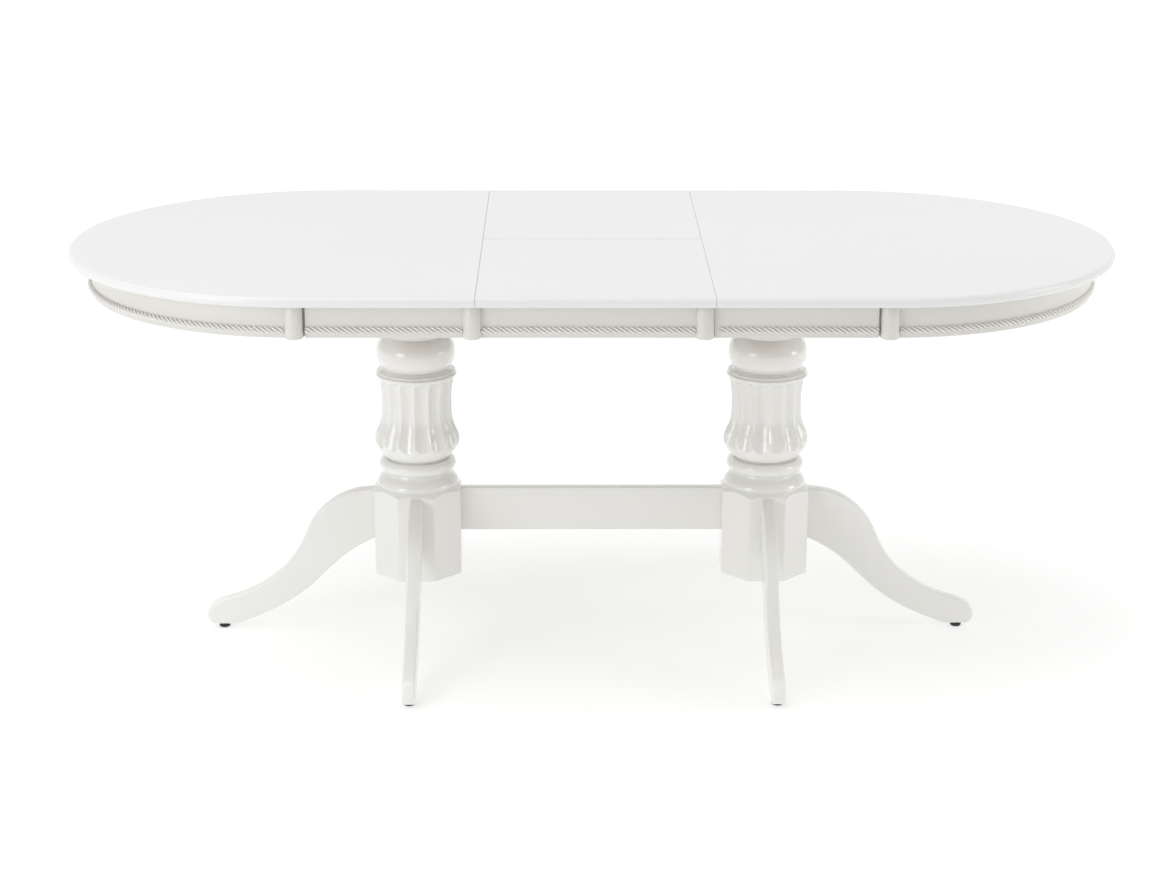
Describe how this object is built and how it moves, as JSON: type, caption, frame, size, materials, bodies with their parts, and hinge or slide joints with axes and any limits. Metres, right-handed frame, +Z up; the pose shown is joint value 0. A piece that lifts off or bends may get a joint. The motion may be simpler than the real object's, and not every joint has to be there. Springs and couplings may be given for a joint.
{
  "type": "extendable dining table",
  "caption": "White double-pedestal dining table with round ends, rope-moulded apron and a folding extension leaf, shown extended.",
  "frame": {"origin": "on the floor under the middle of the extended top", "axes": "+X along the table towards its right end, -Y towards the front, +Z up"},
  "size_m": [1.8998, 0.9, 0.76],
  "materials": {
    "white_top": "white lacquer, satin gloss",
    "white_apron": "white lacquer, satin",
    "white_base": "white lacquer, semi-gloss",
    "beech": "clear matt varnish",
    "fastener_steel": "zinc plated",
    "bracket_steel": "satin zinc",
    "hinge_brass": "satin brass",
    "black_glide": "moulded black plastic"
  },
  "bodies": {
    "base": {"base_bolts": "fastener_steel", "bearer_left": "beech", "bearer_right": "beech", "cleat_bolts": "fastener_steel", "cleat_left": "beech", "cleat_right": "beech", "foot_glides": "black_glide", "frame_screws": "fastener_steel", "leaf_brackets": "bracket_steel", "leg_left_front": "white_base", "leg_left_rear": "white_base", "leg_left_side": "white_base", "leg_right_front": "white_base", "leg_right_rear": "white_base", "leg_right_side": "white_base", "pedestal_left": "white_base", "pedestal_right": "white_base", "rail_front": "beech", "rail_rear": "beech", "stretcher": "white_base"},
    "left_top": {"apron_end_left": "white_apron", "apron_left_front": "white_apron", "apron_left_rear": "white_apron", "post_left_end_front": "white_apron", "post_left_end_rear": "white_apron", "post_left_seam_front": "white_apron", "post_left_seam_rear": "white_apron", "rope_end_left": "white_apron", "rope_left_front": "white_apron", "rope_left_rear": "white_apron", "runner_left_front": "beech", "runner_left_rear": "beech", "runner_screws_left": "fastener_steel", "top_left": "white_top"},
    "right_top": {"apron_end_right": "white_apron", "apron_right_front": "white_apron", "apron_right_rear": "white_apron", "post_right_end_front": "white_apron", "post_right_end_rear": "white_apron", "rope_end_right": "white_apron", "rope_right_front": "white_apron", "rope_right_rear": "white_apron", "runner_right_front": "beech", "runner_right_rear": "beech", "runner_screws_right": "fastener_steel", "top_right": "white_top"},
    "leaf_front": {"apron_leaf_front": "white_apron", "hinge_cups_front": "hinge_brass", "leaf_board_front": "white_top", "leaf_pivot_plates": "bracket_steel", "leaf_plate_screws": "fastener_steel", "post_leaf_front": "white_apron", "rope_leaf_front": "white_apron"},
    "leaf_rear": {"apron_leaf_rear": "white_apron", "hinge_cups_rear": "hinge_brass", "leaf_board_rear": "white_top", "post_leaf_rear": "white_apron", "rope_leaf_rear": "white_apron"},
    "hinge_inner_links": {"hinge_links_inner": "hinge_brass"},
    "hinge_outer_links": {"hinge_links_outer": "hinge_brass"}
  },
  "joints": [
    {"name": "left_top_slide", "type": "slide", "parent": "base", "child": "left_top", "axis": [-1, 0, 0], "range_m": [0, 0.03]},
    {"name": "right_top_slide", "type": "slide", "parent": "base", "child": "right_top", "axis": [1, 0, 0], "range_m": [0, 0.03]},
    {"name": "leaf_lift", "type": "slide", "parent": "base", "child": "leaf_front", "axis": [0, 0, 1], "range_m": [0, 0.1]},
    {"name": "leaf_fold", "type": "hinge", "parent": "leaf_front", "child": "leaf_rear", "pos_m": [0, 0, 0.7603], "axis": [1, 0, 0], "range_deg": [0, 180]},
    {"name": "hinge_inner_turn", "type": "hinge", "parent": "leaf_front", "child": "hinge_inner_links", "pos_m": [0, 0, 0.7603], "axis": [1, 0, 0], "range_deg": [0, 60.2]},
    {"name": "hinge_outer_turn", "type": "hinge", "parent": "leaf_front", "child": "hinge_outer_links", "pos_m": [0, 0, 0.7603], "axis": [1, 0, 0], "range_deg": [0, 120.2]}
  ],
  "couplings": [
    {"joint": "hinge_inner_turn", "follows": "leaf_fold", "ratio": 0.33333},
    {"joint": "hinge_outer_turn", "follows": "leaf_fold", "ratio": 0.66667}
  ]
}
